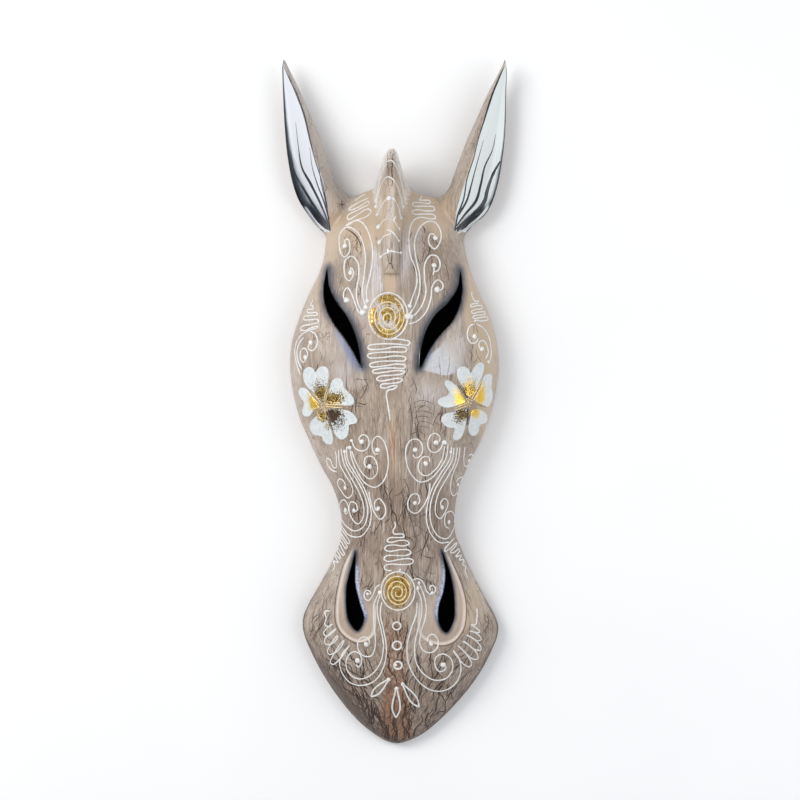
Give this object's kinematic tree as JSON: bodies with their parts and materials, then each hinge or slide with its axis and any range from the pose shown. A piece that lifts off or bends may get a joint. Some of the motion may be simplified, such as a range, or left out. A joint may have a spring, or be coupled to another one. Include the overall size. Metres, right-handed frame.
{
  "type": "giraffe mask",
  "caption": "Long carved wooden animal mask with cupped ears, mane crest, hollow eyes and nostrils, painted relief ornament and a scooped-out back.",
  "frame": {"origin": "centre of the part's box, on the flat plane of the back rim that the mask lies on", "axes": "+Y from the chin to the ears, +Z out of the face, +X to the right of the picture"},
  "size_m": [0.1638, 0.5002, 0.0688],
  "materials": {
    "washed_wood": "grey-washed crackled wood under a satin lacquer, with raised white lines, gold leaf and black pits"
  },
  "bodies": {
    "root": {"carved_mask": "washed_wood"}
  },
  "joints": []
}
